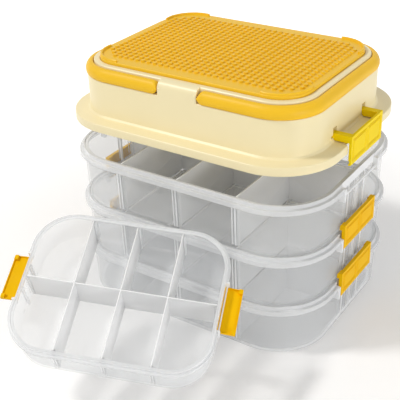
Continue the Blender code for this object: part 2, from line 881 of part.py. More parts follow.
def main():
    clear_scene()
    materials = make_materials()
    meshes = {
        "share": 1.0,
        "tray": tray_mesh(),
        "spine": spine_mesh(),
        "cross": cross_mesh(),
        "latch": tray_latch_mesh(),
    }
    for index, name in enumerate(("bottom_tray", "middle_tray", "top_tray")):
        add_stack_tray(name, index * tray_pitch, meshes, materials, index < tray_count - 1)
    add_lid(materials)
    add_front_tray(meshes, materials)


main()
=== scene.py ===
"""Looks of the stackable building block storage box.

Frosted trays with milky dividers, yellow latches, and a cream lid with an amber studded plate and handles.
All sizes are in metres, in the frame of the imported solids. A tray is made once, in its own frame, and placed
four times.
"""

import math

import bmesh
import bpy
from mathutils import Matrix, Vector


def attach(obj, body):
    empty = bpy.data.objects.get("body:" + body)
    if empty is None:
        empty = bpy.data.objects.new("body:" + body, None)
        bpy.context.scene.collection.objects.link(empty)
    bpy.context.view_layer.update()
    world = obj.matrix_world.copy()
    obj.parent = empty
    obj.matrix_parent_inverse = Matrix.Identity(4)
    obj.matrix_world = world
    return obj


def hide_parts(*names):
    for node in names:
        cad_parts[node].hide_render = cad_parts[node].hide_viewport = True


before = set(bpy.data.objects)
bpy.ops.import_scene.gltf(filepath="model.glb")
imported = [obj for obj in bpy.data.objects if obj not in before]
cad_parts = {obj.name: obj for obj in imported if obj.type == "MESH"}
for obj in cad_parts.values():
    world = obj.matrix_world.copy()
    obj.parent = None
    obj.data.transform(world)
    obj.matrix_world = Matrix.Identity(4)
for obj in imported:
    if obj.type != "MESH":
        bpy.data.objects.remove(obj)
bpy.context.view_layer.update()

MM = 0.001

# Clearances
gap = 0.3 * MM
loose_gap = 0.5 * MM
overrun = 5.0 * MM
root = 1.0 * MM
flush_gap = gap / 10
cut_tolerance = gap / 100

# Studded plate
stud_pitch = 8.0 * MM
stud_radius = 2.45 * MM
stud_height = 1.8 * MM
stud_round = 0.35 * MM
stud_sides = 16
stud_columns = 32
stud_rows = 21
corner_rows = 3
plate_half_x = 134.5 * MM
plate_half_y = 98.5 * MM
plate_corner = 36.0 * MM
plate_thickness = 5.0 * MM
corner_lip_height = 2.5 * MM
corner_lip_width = 3.2 * MM
corner_lip_inset = 0.6 * MM
corner_lip_slope = 1.0 * MM
corner_lip_chamfer = 0.8 * MM
corner_lip_reach = math.radians(9.0)
corner_lip_steps = 18
plate_foot_round = 0.4 * MM
plate_edge_round = 0.9 * MM

# Trays
tray_half_x = 169.0 * MM
tray_half_y = 133.0 * MM
tray_corner = 72.0 * MM
tray_pitch = 65.0 * MM
wall = 2.5 * MM
floor_thickness = 2.5 * MM
foot_radius = 3.0 * MM
foot_ring = 14.0 * MM
foot_step = 0.8 * MM
foot_closing = 1.5 * MM
foot_recess = 0.8 * MM
foot_round = 0.4 * MM
floor_closing = 2.0 * MM
wall_foot_inset = 6.5 * MM
wall_top_inset = 5.0 * MM
flange_bottom = 56.0 * MM
flange_top = 62.0 * MM
flange_round = 0.9 * MM
flange_root_round = 0.8 * MM
lip_root_round = 0.7 * MM
lip_round = 0.6 * MM
ledge_round = 0.5 * MM
ledge_under_round = 0.4 * MM
inner_top_round = 0.8 * MM
lip_inset = 4.0 * MM
lip_thickness = 1.9 * MM
lip_top = 66.3 * MM
ledge_width = 4.3 * MM
ledge_thickness = 1.5 * MM
ledge_top = tray_pitch - gap

# Latch seats
seat_half = 42.2 * MM
lug_thickness = 4.0 * MM
lug_reach = 2.0 * MM
lug_bottom = 45.5 * MM
lug_round = 0.8 * MM
bar_radius = 1.4 * MM
bar_height = 51.5 * MM
bar_outset = 3.5 * MM
bar_x = tray_half_x - wall_top_inset + bar_outset
catch_height = 4.2 * MM
catch_thickness = 1.4 * MM
catch_reach = 1.15 * MM
catch_round = 0.3 * MM

# Dividers and their guides
divider_thickness = 1.8 * MM
divider_top = 64.0 * MM
divider_places = (-78.0 * MM, 0.0, 78.0 * MM)
divider_round = 0.45 * MM
guide_depth = 4.5 * MM
guide_thickness = 1.6 * MM
rib_line = 0.12 * MM
guide_top = 60.0 * MM
side_rib_offset = 20.0 * MM
side_rib_width = 3.0 * MM
side_rib_depth = 1.6 * MM

# Lid
plate_top = 307.0 * MM
lid_height = 73.5 * MM
lid_wall = 2.2 * MM
lid_wall_outset = 16.0 * MM
ring_outset = 7.5 * MM
ring_drop = 3.5 * MM
ring_round = 2.5 * MM
hood_fine_round = 0.6 * MM
hood_round = 1.0 * MM
hood_inner_round = 1.5 * MM
recess_round = 0.5 * MM
rebate_drop = 19.5 * MM
lid_flange_height = 10.0 * MM
lid_flange_plate = 2.5 * MM
lid_flange_round = 1.8 * MM
lid_fillet = 6.0 * MM
lid_skirt = 2.4 * MM
notch_depth = 4.5 * MM
block_half = 25.0 * MM
block_root = 2.4 * MM
block_round = 9.0 * MM
block_round_steps = 8

# Carrying handles
handle_gap = 0.8 * MM
handle_width = 9.2 * MM
handle_top_drop = 5.5 * MM
handle_end_gap = 1.5 * MM
peg_radius = 2.0 * MM
peg_root = 3.0 * MM
handle_end_angles = (82, 72, 60, 48, 36, 24, 12, 0)

# Latches
latch_half = 41.0 * MM
latch_height = 30.0 * MM
latch_thickness = 1.8 * MM
latch_skirt = 1.5 * MM
latch_skirt_depth = 2.2 * MM
latch_drop = 3.0 * MM
latch_ear_width = 8.0 * MM
latch_ear_height = 7.0 * MM
latch_ear_slope = 1.5 * MM
latch_round = 0.5 * MM
panel_depth = 1.0 * MM
groove_half = 0.7 * MM
panel_margin = 4.0 * MM
panel_split = 3.0 * MM
panel_frame = 1.6 * MM
hook_thickness = 1.5 * MM
pivot_drop = 58.0 * MM
pivot_inset = 1.0 * MM
ear_half_height = 4.0 * MM
ear_arc_steps = 8
pocket_gap = 1.0 * MM
pocket_rise = 10.0 * MM
pocket_wall = 2.0 * MM
pin_radius = 1.5 * MM
pin_length = 1.6 * MM
lid_latch_standoff = 1.3 * MM
lid_hover = 41.0 * MM

# Small tray in front
front_share = 0.648
front_origin = Vector((0.0017000, -0.2305045, 0.0861359))
front_turn = (
    Matrix.Rotation(math.radians(20.3), 4, "Z")
    @ Matrix.Rotation(math.radians(24.8), 4, "X")
    @ Matrix.Rotation(math.radians(5.2), 4, "Y")
)
front_latch_open = math.radians(95.0)

# Smoothness
corner_steps = 14
round_steps = 3
round_limit = 0.49
rod_sides = 20
sharp_angle = math.radians(32.0)

# Plastic
plastic_ior = 1.49
drift_scale = 14.0
grain_scale = 900.0
grain_strength = 0.05
grain_depth = 0.2 * MM
gloss_spread = 0.05

# Studio: the floor glows a little to the eye, less so near the box, in metres from its middle
floor_half = 6.0
floor_color = (0.93, 0.92, 0.91, 1.0)
floor_roughness = 0.6
white = (1.0, 1.0, 1.0)
# painted shade: the floor's glow is lowest near the box, so the box's shadow there looks deeper
glow_near, glow_far = 0.25, 0.9
glow_low, glow_high = 0.15, 0.55
world_strength = 0.48
see_through_layers = 64

# Camera
camera_place = (0.4958, -0.8037, 0.6430)
camera_yaw, camera_pitch, camera_roll = -0.598014, 0.514356, -0.034194
picture_width = 400
focal_pixels = 855.8


def mesh_from(bm, name):
    bmesh.ops.recalc_face_normals(bm, faces=bm.faces)
    mesh = bpy.data.meshes.new(name)
    bm.to_mesh(mesh)
    bm.free()
    return mesh


def boolean_mesh(mesh, steps):
    """The mesh after each (operation, tool mesh), joined or cut in turn."""
    target = bpy.data.objects.new("blank", mesh)
    bpy.context.scene.collection.objects.link(target)
    helpers = []
    for operation, tool in steps:
        helper = bpy.data.objects.new("tool", tool)
        bpy.context.scene.collection.objects.link(helper)
        helpers.append(helper)
        modifier = target.modifiers.new(operation.lower(), "BOOLEAN")
        modifier.operation = operation
        modifier.object = helper
        modifier.solver = "EXACT"
    bpy.context.view_layer.update()
    graph = bpy.context.evaluated_depsgraph_get()
    result = bpy.data.meshes.new_from_object(target.evaluated_get(graph))
    result.name = mesh.name
    for item in (target, *helpers):
        bpy.data.objects.remove(item)
    return result


def eased(mesh, width):
    """The mesh with every sharp edge rounded a little."""
    item = bpy.data.objects.new("blank", mesh)
    bpy.context.scene.collection.objects.link(item)
    modifier = item.modifiers.new("edges", "BEVEL")
    modifier.width = width
    modifier.segments = 2
    modifier.limit_method = "ANGLE"
    modifier.angle_limit = sharp_angle
    modifier.use_clamp_overlap = True
    graph = bpy.context.evaluated_depsgraph_get()
    result = bpy.data.meshes.new_from_object(item.evaluated_get(graph))
    result.name = mesh.name
    bpy.data.objects.remove(item)
    return result


def show(name, mesh, material, body, node, place=None, others=()):
    """A finished piece: its place goes into its mesh, and it rides on its body in the CAD node's stead."""
    mesh = mesh.copy()
    mesh.name = name
    if place is not None:
        mesh.transform(place)
    indexes = [face.material_index for face in mesh.polygons]
    mesh.materials.clear()
    mesh.materials.append(material)
    for other in others:
        mesh.materials.append(other)
    if others:
        mesh.polygons.foreach_set("material_index", indexes)
    mesh.shade_smooth()
    mesh.set_sharp_from_angle(angle=sharp_angle)
    piece = bpy.data.objects.new(name, mesh)
    bpy.context.scene.collection.objects.link(piece)
    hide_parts(node)
    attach(piece, body)
    return piece


def rounded_face(bm, half_x, half_y, radius, height):
    """One flat face with round corners."""
    made = bmesh.ops.create_grid(bm, x_segments=1, y_segments=1, size=1.0)
    bmesh.ops.scale(bm, vec=(half_x, half_y, 1.0), verts=made["verts"])
    bmesh.ops.translate(bm, vec=(0.0, 0.0, height), verts=made["verts"])
    bmesh.ops.bevel(
        bm,
        geom=made["verts"],
        offset=radius,
        offset_type="OFFSET",
        segments=corner_steps,
        profile=0.5,
        affect="VERTICES",
        material=-1,
    )
    return bm.faces[:][0]


def outward(spot, half_x, half_y, radius):
    """The direction in which a round-cornered outline grows at a spot."""
    middle_x = max(min(spot.x, half_x - radius), radius - half_x)
    middle_y = max(min(spot.y, half_y - radius), radius - half_y)
    return Vector((spot.x - middle_x, spot.y - middle_y, 0.0)).normalized()


def softened(points):
    """Points (inset, height) of a profile given as (inset, height, radius), with each corner rounded."""
    soft = [Vector(points[0][:2])]
    for before, here, after in zip(points, points[1:], points[2:]):
        corner = Vector(here[:2])
        if not here[2]:
            soft.append(corner)
            continue
        to_before = Vector(before[:2]) - corner
        to_after = Vector(after[:2]) - corner
        start = corner + to_before.normalized() * min(here[2], to_before.length * round_limit)
        end = corner + to_after.normalized() * min(here[2], to_after.length * round_limit)
        for step in range(round_steps + 1):
            share = step / round_steps
            soft.append((1 - share) ** 2 * start + 2 * share * (1 - share) * corner + share**2 * end)
    soft.append(Vector(points[-1][:2]))
    return soft


def next_ring(bm, cap, keep):
    """Extrudes the cap face in place and returns the new cap. The old one stays only to close the body."""
    made = bmesh.ops.extrude_face_region(bm, geom=[cap])
    if cap.is_valid and not keep:
        bmesh.ops.delete(bm, geom=[cap], context="FACES_ONLY")
    return next(item for item in made["geom"] if isinstance(item, bmesh.types.BMFace))


def lofted(name, half_x, half_y, radius, points):
    """A closed body whose round-cornered outline follows a profile of (inset, height, rounding)."""
    profile = softened(points)
    first = profile[0]
    bm = bmesh.new()
    cap = rounded_face(bm, half_x - first.x, half_y - first.x, radius - first.x, first.y)
    for number, (before, here) in enumerate(zip(profile, profile[1:])):
        cap = next_ring(bm, cap, keep=number == 0)
        outline = (half_x - before.x, half_y - before.x, radius - before.x)
        for vert in cap.verts:
            vert.co += outward(vert.co, *outline) * (before.x - here.x)
            vert.co.z = here.y
    return mesh_from(bm, name)


def add_box(bm, low, high, round_off=0.0):
    low, high = Vector(low), Vector(high)
    made = bmesh.ops.create_cube(bm, size=1.0)
    bmesh.ops.scale(bm, vec=high - low, verts=made["verts"])
    bmesh.ops.translate(bm, vec=(low + high) / 2, verts=made["verts"])
    if round_off:
        edges = {edge for vert in made["verts"] for edge in vert.link_edges}
        bmesh.ops.bevel(
            bm, geom=list(edges), offset=round_off, segments=2, profile=0.5, affect="EDGES", material=-1
        )


def add_rod(bm, center, radius, length):
    """A rod along Y, closed with flat ends."""
    turn = Matrix.Translation(center) @ Matrix.Rotation(math.pi / 2, 4, "X")
    bmesh.ops.create_cone(
        bm, cap_ends=True, segments=rod_sides, radius1=radius, radius2=radius, depth=length, matrix=turn
    )


def mirrored(bm, x=False, y=False):
    """Adds the mirror image of every shape so far."""
    for axis, wanted in (("X", x), ("Y", y)):
        if wanted:
            copied = bmesh.ops.duplicate(bm, geom=bm.verts[:] + bm.edges[:] + bm.faces[:])
            verts = [item for item in copied["geom"] if isinstance(item, bmesh.types.BMVert)]
            faces = [item for item in copied["geom"] if isinstance(item, bmesh.types.BMFace)]
            flip = Vector((-1 if axis == "X" else 1, -1 if axis == "Y" else 1, 1))
            bmesh.ops.scale(bm, vec=flip, verts=verts)
            bmesh.ops.reverse_faces(bm, faces=faces)


def pushed(bm, outline, axis, low, high):
    """A flat outline pushed along X or Y from low to high. Its points are the other two coordinates."""
    if axis == "X":
        corners = [bm.verts.new((low, a, b)) for a, b in outline]
    else:
        corners = [bm.verts.new((a, low, b)) for a, b in outline]
    face = bm.faces.new(corners)
    made = bmesh.ops.extrude_face_region(bm, geom=[face])
    verts = [item for item in made["geom"] if isinstance(item, bmesh.types.BMVert)]
    step = (high - low, 0.0, 0.0) if axis == "X" else (0.0, high - low, 0.0)
    bmesh.ops.translate(bm, vec=step, verts=verts)


def tray_points():
    """Up the outer wall, over the flange and the lip, and down the inner wall to the floor."""
    lip_inner = lip_inset + lip_thickness
    ledge_inner = lip_inner + ledge_width
    inner_top = wall_top_inset + wall
    inner_foot = wall_foot_inset + wall
    return (
        (foot_ring + foot_closing, foot_recess, 0.0),
        (foot_ring + foot_step, foot_recess, foot_round),
        (foot_ring, 0.0, foot_round),
        (wall_foot_inset, 0.0, foot_radius),
        (wall_top_inset, flange_bottom, flange_root_round),
        (0.0, flange_bottom, flange_round),
        (0.0, flange_top, flange_round),
        (lip_inset, flange_top, lip_root_round),
        (lip_inset, lip_top, lip_round),
        (lip_inner, lip_top, lip_round),
        (lip_inner, ledge_top, ledge_round),
        (ledge_inner, ledge_top, ledge_round),
        (ledge_inner, ledge_top - ledge_thickness, ledge_under_round),
        (inner_top, ledge_top - ledge_thickness - (ledge_inner - inner_top), inner_top_round),
        (inner_foot, floor_thickness, foot_radius),
        (inner_foot + foot_radius + floor_closing, floor_thickness, 0.0),
    )


def rib_outline(half, depth):
    """A rib from the wall inwards: it shows on the wall's outer face as a fine raised line."""
    low = floor_thickness - root
    bend = 2 * foot_radius
    taper = (wall_foot_inset - wall_top_inset) * bend / flange_bottom
    return (
        (half - depth, low),
        (half - wall_foot_inset - wall, low),
        (half - wall_foot_inset + taper + rib_line, bend),
        (half - wall_top_inset + rib_line, flange_bottom),
        (half - wall_top_inset + rib_line, guide_top),
        (half - depth, guide_top),
    )


def guide_ribs():
    """Pairs of upright ribs that hold the dividers' ends, and two plain ribs on each short side."""
    near = divider_thickness / 2 + gap
    far = near + guide_thickness
    depth = lip_inset + lip_thickness + ledge_width + guide_depth
    rib_far = side_rib_offset + side_rib_width
    bm = bmesh.new()
    for place in divider_places:
        for a, b in ((place + near, place + far), (place - far, place - near)):
            pushed(bm, rib_outline(tray_half_y, depth), "X", a, b)
    mirrored(bm, y=True)
    sides = bmesh.new()
    pushed(sides, rib_outline(tray_half_x, depth), "Y", near, far)
    shallow = rib_outline(tray_half_x, wall_foot_inset + wall + side_rib_depth)
    pushed(sides, shallow, "Y", side_rib_offset, rib_far)
    mirrored(sides, x=True, y=True)
    spare = mesh_from(sides, "side ribs")
    bm.from_mesh(spare)
    return mesh_from(bm, "ribs")


def latch_seat_cut():
    bm = bmesh.new()
    low = (tray_half_x - wall_top_inset + loose_gap, -seat_half, flange_bottom - overrun)
    add_box(bm, low, (tray_half_x + overrun, seat_half, lip_top + overrun))
    mirrored(bm, x=True)
    return mesh_from(bm, "latch seat")


def lugs():
    """Lugs at the ends of both latch seats, and the catches low on the short sides."""
    bm = bmesh.new()
    inner = tray_half_x - wall_top_inset - root
    outer = tray_half_x + lug_reach
    add_box(bm, (inner, seat_half, lug_bottom), (outer, seat_half + lug_thickness, flange_top), lug_round)
    catch_x = tray_half_x - wall_foot_inset
    low = (catch_x - root, latch_half - latch_ear_width, catch_height)
    add_box(bm, low, (catch_x + catch_reach, latch_half, catch_height + catch_thickness), catch_round)
    mirrored(bm, x=True, y=True)
    return mesh_from(bm, "lugs")


def denser_faces(mesh, kind):
    """Gives each face the number of its material: edges and ribs are seen through more plastic."""
    for face in mesh.polygons:
        face.material_index = kind([mesh.vertices[index].co for index in face.vertices])
    return mesh


def tray_face_kind(spots):
    """0 for walls and floor, 1 for the flange and lip, 2 for ribs, lugs and hinge bars."""
    outer = tray_half_x - wall_top_inset - root
    seat = seat_half + lug_thickness + root
    if all(abs(spot.x) > outer and abs(spot.y) < seat and spot.z > lug_bottom - root for spot in spots):
        return 2
    if min(spot.z for spot in spots) > flange_bottom - root:
        return 1
    reach = lip_inset + lip_thickness + ledge_width + guide_depth + root
    rib_far = divider_thickness / 2 + gap + guide_thickness + root
    along = any(all(abs(spot.x - place) < rib_far for spot in spots) for place in divider_places)
    if along and all(abs(spot.y) > tray_half_y - reach for spot in spots):
        return 2
    width = max(spot.y for spot in spots) - min(spot.y for spot in spots)
    narrow = width < side_rib_width + root
    near = all(abs(spot.y) < side_rib_offset + side_rib_width + root for spot in spots)
    deep = wall_foot_inset + wall + max(side_rib_depth, guide_depth) + root
    at_side = all(abs(spot.x) > tray_half_x - deep for spot in spots)
    return 2 if narrow and near and at_side else 0


def divider_face_kind(spots):
    return 1 if min(spot.z for spot in spots) > divider_top - 2 * divider_round else 0


def hinge_bars():
    bm = bmesh.new()
    add_rod(bm, (bar_x, 0.0, bar_height), bar_radius, 2 * (seat_half + lug_thickness / 2))
    mirrored(bm, x=True)
    return mesh_from(bm, "hinge bars")


def tray_shell():
    shell = lofted("tray", tray_half_x, tray_half_y, tray_corner, tray_points())
    steps = (
        ("UNION", guide_ribs()),
        ("DIFFERENCE", latch_seat_cut()),
        ("UNION", lugs()),
        ("UNION", hinge_bars()),
    )
    return denser_faces(boolean_mesh(shell, steps), tray_face_kind)


def divider(name, half_length, notches, open_top):
    """An upright plate with a half-depth notch at each place where another divider crosses."""
    low = floor_thickness + gap
    middle = (low + divider_top) / 2
    half_notch = divider_thickness / 2 + gap
    edge, depth = (divider_top, middle - gap) if open_top else (low, middle + gap)
    notched = []
    for place in notches:
        notched += [(place - half_notch, edge), (place - half_notch, depth)]
        notched += [(place + half_notch, depth), (place + half_notch, edge)]
    top = [(-half_length, divider_top), (half_length, divider_top)]
    bottom = [
        (half_length, low + foot_radius),
        (half_length - foot_radius, low),
        (foot_radius - half_length, low),
        (-half_length, low + foot_radius),
    ]
    if open_top:
        outline = [top[0], *notched, top[1], *bottom]
    else:
        outline = [*top, *bottom[:2], *notched[::-1], *bottom[2:]]
    bm = bmesh.new()
    pushed(bm, outline, "Y", -divider_thickness / 2, divider_thickness / 2)
    return denser_faces(eased(mesh_from(bm, name), divider_round), divider_face_kind)


def panelled_plate(name, back, face, low, high):
    """A latch's plate with two panels in its outer face, each lined out by two grooves."""
    bm = bmesh.new()
    add_box(bm, (back, -latch_half, low), (face, latch_half, high))
    inner = panel_split / 2
    outer = latch_half - panel_margin
    cuts = [((0.0, 1.0, 0.0), side * place) for side in (-1, 1) for place in (inner, outer)]
    cuts += [((0.0, 0.0, 1.0), low + panel_margin), ((0.0, 0.0, 1.0), high - panel_margin)]
    for normal, place in cuts:
        geometry = bm.verts[:] + bm.edges[:] + bm.faces[:]
        spot = Vector(normal) * place
        bmesh.ops.bisect_plane(bm, geom=geometry, dist=cut_tolerance, plane_co=spot, plane_no=normal)
    bm.normal_update()
    panels = [shape for shape in bm.faces if is_panel(shape, face, inner, outer, low, high)]
    for _ in range(2):
        bmesh.ops.inset_individual(bm, faces=panels, thickness=groove_half, depth=-panel_depth)
        bmesh.ops.inset_individual(bm, faces=panels, thickness=groove_half, depth=panel_depth)
        bmesh.ops.inset_individual(bm, faces=panels, thickness=panel_frame, depth=0.0)
    return mesh_from(bm, name)


def is_panel(shape, face, inner, outer, low, high):
    middle = shape.calc_center_median()
    along = inner < abs(middle.y) < outer
    upright = low + panel_margin < middle.z < high - panel_margin
    return along and upright and abs(middle.x - face) < gap


def latch_skirts(back, face, high, skirt_low, skirt_depth):
    """The thin skirts down both ends and along the top edge of a latch."""
    inner = back - skirt_depth
    ends = bmesh.new()
    add_box(ends, (inner, latch_half - latch_skirt, skirt_low), (face - root, latch_half, high))
    mirrored(ends, y=True)
    rim = bmesh.new()
    add_box(rim, (inner, -latch_half, high - latch_skirt), (face - root, latch_half, high))
    return [("UNION", mesh_from(ends, "end skirts")), ("UNION", mesh_from(rim, "top skirt"))]


def tray_latch():
    """A tray's latch, round its hinge bar at the origin, with two ears at the top."""
    face = lug_reach + tray_half_x - bar_x
    low = -latch_drop
    high = low + latch_height
    back = face - latch_thickness
    steps = latch_skirts(back, face, high, bar_radius + loose_gap, latch_skirt_depth)
    jaw = bmesh.new()
    add_box(jaw, (-root, -latch_half, low), (face - root, latch_half, low + latch_skirt - gap))
    ears = bmesh.new()
    catch_x = tray_half_x - wall_foot_inset + catch_reach + loose_gap - bar_x
    outline = (
        (catch_x, high - latch_ear_height),
        (face - root, high - latch_ear_height),
        (face - root, high),
        (catch_x + latch_ear_slope, high),
        (catch_x + loose_gap, high - latch_skirt),
    )
    pushed(ears, outline, "Y", latch_half - latch_ear_width, latch_half)
    mirrored(ears, y=True)
    steps += [("UNION", mesh_from(jaw, "jaw")), ("UNION", mesh_from(ears, "ears"))]
    plate = panelled_plate("tray latch", back, face, low, high)
    return eased(boolean_mesh(plate, steps), latch_round)


def lid_latch():
    """A lid latch: hangs from two pins, at the origin, with a hook at its foot."""
    pivot_x, pivot_z = lid_latch_pivot()
    face = lug_reach + tray_half_x + lid_latch_standoff - pivot_x
    back = face - latch_thickness
    hook_top = 2 * tray_pitch + bar_height + lid_hover - bar_radius - pivot_z - loose_gap
    low = hook_top - hook_thickness
    high = ear_half_height
    hook_end = bar_x + bar_radius + loose_gap - pivot_x
    steps = latch_skirts(back, face, high, hook_top + 2 * (loose_gap + bar_radius), back - hook_end)
    hook = bmesh.new()
    add_box(hook, (hook_end, -latch_half, low), (back + root, latch_half, hook_top))
    ears = bmesh.new()
    arc = [math.pi * (0.5 + step / ear_arc_steps) for step in range(ear_arc_steps + 1)]
    outline = [(ear_half_height * math.cos(a), ear_half_height * math.sin(a)) for a in arc]
    outline += [(back + root, -ear_half_height), (back + root, ear_half_height)]
    pushed(ears, outline, "Y", latch_half - latch_ear_width, latch_half)
    mirrored(ears, y=True)
    pins = bmesh.new()
    add_rod(pins, (0.0, latch_half + (pin_length - root) / 2, 0.0), pin_radius, pin_length + root)
    mirrored(pins, y=True)
    steps += [("UNION", mesh_from(hook, "hook")), ("UNION", mesh_from(ears, "ears"))]
    steps += [("UNION", mesh_from(pins, "pins"))]
    plate = panelled_plate("lid latch", back, face, low, high)
    return eased(boolean_mesh(plate, steps), latch_round)


def lid_latch_pivot():
    """(x, z) of the right lid latch's pins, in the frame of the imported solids."""
    return plate_half_x + lid_wall_outset - pivot_inset, plate_top - pivot_drop


def hood_points():
    """From the plate's recess over the ring, down the wall and the flange, and back up inside."""
    seat = -plate_thickness - gap
    flange_out = tray_half_x - plate_half_x
    flange_face = lid_flange_height - lid_height
    ring_inner = ring_outset - lid_wall
    wall_inner = lid_wall_outset - lid_wall
    outer = (
        (-loose_gap - root, seat, 0.0),
        (loose_gap, seat, 0.0),
        (loose_gap, -ring_drop, recess_round),
        (ring_outset, -ring_drop, ring_round),
        (ring_outset, -rebate_drop, hood_fine_round),
        (lid_wall_outset, -rebate_drop, hood_round),
        (lid_wall_outset, flange_face, lid_fillet),
        (flange_out, flange_face, lid_flange_round),
        (flange_out, -lid_height, hood_fine_round),
    )
    inner = (
        (flange_out - lid_skirt, -lid_height, recess_round),
        (flange_out - lid_skirt, flange_face - lid_flange_plate, hood_fine_round),
        (wall_inner, flange_face - lid_flange_plate, hood_inner_round),
        (wall_inner, -rebate_drop - lid_wall, hood_inner_round),
        (ring_inner, -rebate_drop - lid_wall, hood_fine_round),
        (ring_inner, seat - lid_wall, hood_round),
        (0.0, seat - lid_wall, 0.0),
    )
    return tuple((-outset, height, rounding) for outset, height, rounding in outer + inner)


def handle_blocks():
    """The blocks in the middle of the front and back that both handles turn against."""
    bm = bmesh.new()
    inner = plate_half_y + ring_outset - lid_wall / 2
    outer = plate_half_y + lid_wall_outset
    root_y = inner - block_root
    top = -ring_drop - flush_gap
    low = -rebate_drop - lid_wall / 2
    outline = (
        (inner, low),
        (outer, low),
        (outer, top),
        (root_y, top),
        (root_y, top - block_root / 2),
        (inner, top - block_root),
    )
    pushed(bm, outline, "X", -block_half, block_half)
    top_front = [edge for edge in bm.edges if is_top_front(edge)]
    bmesh.ops.bevel(
        bm,
        geom=top_front,
        offset=block_round,
        segments=block_round_steps,
        profile=0.5,
        affect="EDGES",
        material=-1,
    )
    mirrored(bm, y=True)
    return mesh_from(bm, "handle blocks")


def is_top_front(edge):
    middle = (edge.verts[0].co + edge.verts[1].co) / 2
    high_enough = middle.z > -ring_drop - loose_gap
    return high_enough and middle.y > plate_half_y + lid_wall_outset - gap


def latch_pockets(grow):
    """The pockets in which the lid latches' ears turn, or their housings when grown."""
    pivot_x, _ = lid_latch_pivot()
    outer = -lid_wall / 2 if grow else overrun
    bm = bmesh.new()
    low = (
        pivot_x - ear_half_height - loose_gap - grow,
        latch_half - latch_ear_width - loose_gap - grow,
        -pivot_drop - ear_half_height - pocket_gap - grow,
    )
    high = (
        plate_half_x + lid_wall_outset + outer,
        latch_half + loose_gap + grow,
        -pivot_drop + pocket_rise + grow,
    )
    add_box(bm, low, high)
    mirrored(bm, x=True, y=True)
    return mesh_from(bm, "pockets")


def hood_holes():
    """Holes for the latches' pins and the handles' pegs, and the notches where the latches hang."""
    bm = bmesh.new()
    pivot_x, _ = lid_latch_pivot()
    add_rod(bm, (pivot_x, latch_half + pocket_wall / 2, -pivot_drop), pin_radius + gap, pocket_wall + overrun)
    peg_x, peg_z = handle_pivot()
    middle = plate_half_y + ring_outset - lid_wall / 2
    add_rod(bm, (peg_x, middle, peg_z), peg_radius + gap, lid_wall + overrun)
    mirrored(bm, y=True)
    low = (tray_half_x - notch_depth, -seat_half - loose_gap, -lid_height - overrun)
    high = (tray_half_x + overrun, seat_half + loose_gap, lid_flange_height - lid_height + gap)
    add_box(bm, low, high)
    mirrored(bm, x=True)
    return mesh_from(bm, "holes")


def hood():
    shell = lofted("hood", plate_half_x, plate_half_y, plate_corner, hood_points())
    steps = (
        ("UNION", handle_blocks()),
        ("UNION", latch_pockets(pocket_wall)),
        ("DIFFERENCE", latch_pockets(0.0)),
        ("DIFFERENCE", hood_holes()),
    )
    return boolean_mesh(shell, steps)


def stud_spots():
    """Where the studs stand: each corner of the field leaves a few out."""
    spots = []
    for row in range(stud_rows):
        from_edge = min(row, stud_rows - 1 - row)
        skipped = max(corner_rows - 1 - from_edge, 0)
        for column in range(skipped, stud_columns - skipped):
            x = (column - (stud_columns - 1) / 2) * stud_pitch
            y = (row - (stud_rows - 1) / 2) * stud_pitch
            spots.append((x, y))
    return spots


def stud():
    """One round stud with an eased top edge and no underside."""
    bm = bmesh.new()
    lift = Matrix.Translation((0.0, 0.0, stud_height / 2))
    bmesh.ops.create_cone(
        bm,
        cap_ends=True,
        segments=stud_sides,
        radius1=stud_radius,
        radius2=stud_radius,
        depth=stud_height,
        matrix=lift,
    )
    top = [edge for edge in bm.edges if all(vert.co.z > stud_height - gap for vert in edge.verts)]
    bmesh.ops.bevel(bm, geom=top, offset=stud_round, segments=2, profile=0.5, affect="EDGES", material=-1)
    under = [face for face in bm.faces if all(vert.co.z < gap for vert in face.verts)]
    bmesh.ops.delete(bm, geom=under, context="FACES_ONLY")
    return mesh_from(bm, "stud")


def corner_lip():
    """A low ridge round the front right corner of the plate."""
    bm = bmesh.new()
    outer = plate_corner - corner_lip_inset
    inner = outer - corner_lip_width
    section = (
        (inner, -gap),
        (inner + corner_lip_slope, corner_lip_height),
        (outer - corner_lip_chamfer, corner_lip_height),
        (outer, corner_lip_height - corner_lip_chamfer),
        (outer, -gap),
    )
    verts = [bm.verts.new((distance, 0.0, height)) for distance, height in section]
    face = bm.faces.new(verts)
    start = Matrix.Rotation(-math.pi / 2 - corner_lip_reach, 3, "Z")
    bmesh.ops.rotate(bm, cent=(0.0, 0.0, 0.0), matrix=start, verts=verts)
    bmesh.ops.spin(
        bm,
        geom=[face],
        cent=(0.0, 0.0, 0.0),
        axis=(0.0, 0.0, 1.0),
        angle=math.pi / 2 + 2 * corner_lip_reach,
        steps=corner_lip_steps,
    )
    shift = (plate_half_x - plate_corner, plate_corner - plate_half_y, 0.0)
    bmesh.ops.translate(bm, vec=shift, verts=bm.verts[:])
    return mesh_from(bm, "corner lip")


def studded_plate():
    points = (
        (plate_corner / 2, -plate_thickness, 0.0),
        (0.0, -plate_thickness, plate_foot_round),
        (0.0, 0.0, plate_edge_round),
        (plate_corner / 2, 0.0, 0.0),
    )
    plate = lofted("plate", plate_half_x, plate_half_y, plate_corner, points)
    bm = bmesh.new()
    lip = corner_lip()
    bm.from_mesh(lip)
    mirrored(bm, x=True, y=True)
    whole = boolean_mesh(plate, [("UNION", mesh_from(bm, "corner lips"))])
    bm = bmesh.new()
    bm.from_mesh(whole)
    pattern = stud()
    for x, y in stud_spots():
        before = len(bm.verts)
        bm.from_mesh(pattern)
        bm.verts.ensure_lookup_table()
        bmesh.ops.translate(bm, vec=(x, y, 0.0), verts=bm.verts[before:])
    mesh = bpy.data.meshes.new("studded plate")
    bm.to_mesh(mesh)
    bm.free()
    return mesh


